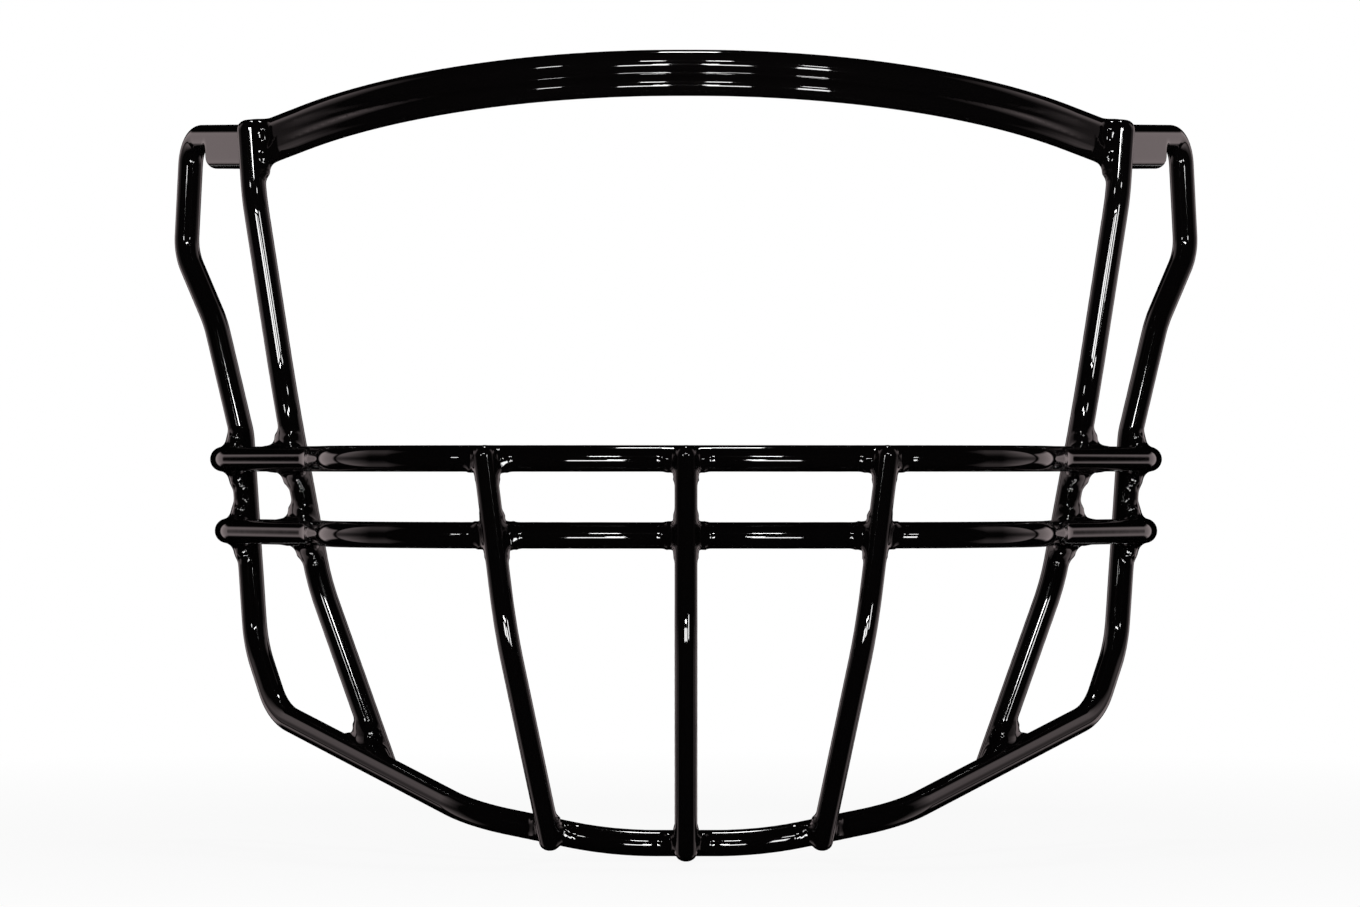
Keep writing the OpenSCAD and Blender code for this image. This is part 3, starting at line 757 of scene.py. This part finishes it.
def weld_material():
    """Weld metal: darker, rough, with blue and brown heat colours."""
    material, tree, shader = new_material("weld_metal")
    shader.inputs["Metallic"].default_value = 1
    stains = noise(tree, scale=500, detail=3)
    shade = ramp(tree, stains, dark=(0.10, 0.09, 0.12, 1), light=(0.26, 0.19, 0.12, 1))
    tree.links.new(shade, shader.inputs["Base Color"])
    patches = noise(tree, scale=1500, detail=3)
    tree.links.new(spread(tree, patches, low=0.4, high=0.65), shader.inputs["Roughness"])
    ripples = noise(tree, scale=1200, detail=2)
    bump(tree, shader, ripples, distance=0.0001, strength=0.5)
    return material


def dress(obj, material):
    obj.data.materials.clear()
    obj.data.materials.append(material)


def kind_of(name):
    """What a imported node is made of."""
    if name == "coating":
        return "coating"
    return "weld" if "weld" in name else "wire"


# Studio


def floor(height):
    """Pale round floor under the mask. The camera sees it nearly white, with a faint shadow of the mask."""
    bpy.ops.mesh.primitive_circle_add(
        vertices=96, radius=FLOOR_R, fill_type="NGON", location=(0, 0, height)
    )
    disc = bpy.context.object
    disc.name = "studio_floor"
    material, tree, shader = new_material("pale_floor")
    shader.inputs["Base Color"].default_value = FLOOR_SHADE
    shader.inputs["Roughness"].default_value = 0.9
    glow = tree.nodes.new("ShaderNodeEmission")
    glow.inputs["Strength"].default_value = 1
    place = tree.nodes.new("ShaderNodeTexCoord")
    reach = arithmetic(tree, "LENGTH", place.outputs["Object"])
    white = spread(tree, reach, FLOOR_WHITE, 1, *FLOOR_FADE)
    share = product(tree, light_path(tree, "Is Camera Ray"), white)
    surface = mixed(tree, share, shader.outputs["BSDF"], glow.outputs["Emission"])
    tree.links.new(surface, tree.nodes["Material Output"].inputs["Surface"])
    dress(disc, material)
    disc.visible_glossy = False


def background(tree, colour, strength):
    node = tree.nodes.new("ShaderNodeBackground")
    node.inputs["Color"].default_value = colour
    feed(tree, strength, node.inputs["Strength"])
    return node.outputs["Background"]


def fade(tree, angle, edge, low, high):
    """A level that goes from low to high while an angle goes over an edge, a pair of degrees."""
    return spread(tree, angle, low, high, radians(edge[0]), radians(edge[1]))


def surroundings(tree):
    """What the gloss shows besides the lamps: a dark room in front, a white panel on each side and a low
    white wall behind the mask."""
    place = tree.nodes.new("ShaderNodeTexCoord")
    axes = tree.nodes.new("ShaderNodeSeparateXYZ")
    tree.links.new(place.outputs["Generated"], axes.inputs["Vector"])
    ahead = product(tree, axes.outputs["Y"], -1)
    turn = arithmetic(tree, "ARCTAN2", arithmetic(tree, "ABSOLUTE", axes.outputs["X"]), ahead)
    rise = arithmetic(tree, "ARCSINE", arithmetic(tree, "ABSOLUTE", axes.outputs["Z"]))
    panels = product(
        tree,
        fade(tree, turn, PANEL_START, 0, 1),
        fade(tree, turn, PANEL_END, 1, 0),
        fade(tree, rise, PANEL_DIM_RISE, PANEL_DIM, 1),
        fade(tree, rise, PANEL_RISE, 1, 0),
    )
    wall = product(
        tree,
        fade(tree, turn, WALL_START, 0, 1),
        fade(tree, turn, WALL_END, 1, 0),
        fade(tree, rise, WALL_RISE, 1, 0),
    )
    return background(tree, ROOM_COLOUR, arithmetic(tree, "ADD", panels, wall))


def world():
    """White ground for the camera; the surroundings for reflections; an even fill for everything else."""
    scene = bpy.context.scene
    scene.world = scene.world or bpy.data.worlds.new("studio")
    scene.world.use_nodes = True
    tree = scene.world.node_tree
    tree.nodes.clear()
    shiny = light_path(tree, "Is Glossy Ray", "Is Transmission Ray")
    lit = mixed(tree, shiny, background(tree, FILL_COLOUR, FILL), surroundings(tree))
    seen = mixed(tree, light_path(tree, "Is Camera Ray"), lit, background(tree, WHITE, 1))
    output = tree.nodes.new("ShaderNodeOutputWorld")
    tree.links.new(seen, output.inputs["Surface"])


def lamp(name, azimuth, elevation, size, level, distance=LAMP_DISTANCE):
    """A soft box that faces the mask. Level is the light that it gives a card facing it, 1 for white."""
    turn, rise = radians(azimuth), radians(elevation)
    way = Vector((sin(turn) * cos(rise), -cos(turn) * cos(rise), sin(rise)))
    data = bpy.data.lights.new(name, "AREA")
    data.shape = "RECTANGLE"
    data.size, data.size_y = size
    data.energy = level * (pi * distance) ** 2
    box = bpy.data.objects.new(name, data)
    box.location = way * distance
    box.rotation_euler = way.to_track_quat("Z", "Y").to_euler()
    bpy.context.scene.collection.objects.link(box)


def lamps():
    """Small soft boxes, each where the photograph's highlights reflect it."""
    for side, mark in ((-1, "left"), (1, "right")):
        lamp(f"{mark}_high_box", azimuth=6.2 * side, elevation=16, size=(0.16, 0.06), level=0.09)
        lamp(f"{mark}_low_box", azimuth=4 * side, elevation=-12, size=(0.10, 0.05), level=0.07)
    lamp("left_wing", azimuth=-28.8, elevation=7.8, size=(0.16, 0.12), level=0.055)
    lamp("right_wing", azimuth=27, elevation=7.8, size=(0.16, 0.12), level=0.055)
    lamp("left_low_strip", azimuth=-8, elevation=-18, size=(0.30, 0.18), level=0.17)
    lamp("right_low_strip", azimuth=8, elevation=-18, size=(0.26, 0.18), level=0.14)
    lamp("low_wing", azimuth=26, elevation=-14, size=(0.20, 0.32), level=0.17)
    lamp("top_box", azimuth=-2, elevation=100, size=(0.12, 0.12), level=0.15, distance=1.2)


def camera():
    """Level camera at the photograph's distance, framed by a small shift."""
    data = bpy.data.cameras.new("camera")
    data.sensor_fit = "HORIZONTAL"
    data.sensor_width = SENSOR_MM
    data.lens = SENSOR_MM * PIXELS_PER_UNIT_SLOPE / IMAGE_W
    data.shift_x = (IMAGE_W / 2 - CENTRE_PX[0]) / IMAGE_W
    data.shift_y = (CENTRE_PX[1] - IMAGE_H / 2) / IMAGE_W
    data.clip_start, data.clip_end = 0.05, 20
    eye = bpy.data.objects.new("camera", data)
    eye.location = (0, -CAMERA_DISTANCE, CAMERA_HEIGHT)
    eye.rotation_euler = (pi / 2, 0, 0)
    bpy.context.scene.collection.objects.link(eye)
    bpy.context.scene.camera = eye


def main():
    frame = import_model()
    cad_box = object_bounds()
    materials = {"coating": coating_material(), "weld": weld_material(), "wire": steel_material()}
    skin = coating_skin()
    dress(skin, materials["coating"])
    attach(skin, "root")
    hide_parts("coating")
    for name, node in frame["nodes"].items():
        dress(node, materials[kind_of(name)])
    floor(cad_box[0][2])
    world()
    lamps()
    camera()
    bpy.context.scene.view_settings.view_transform = "Standard"


main()
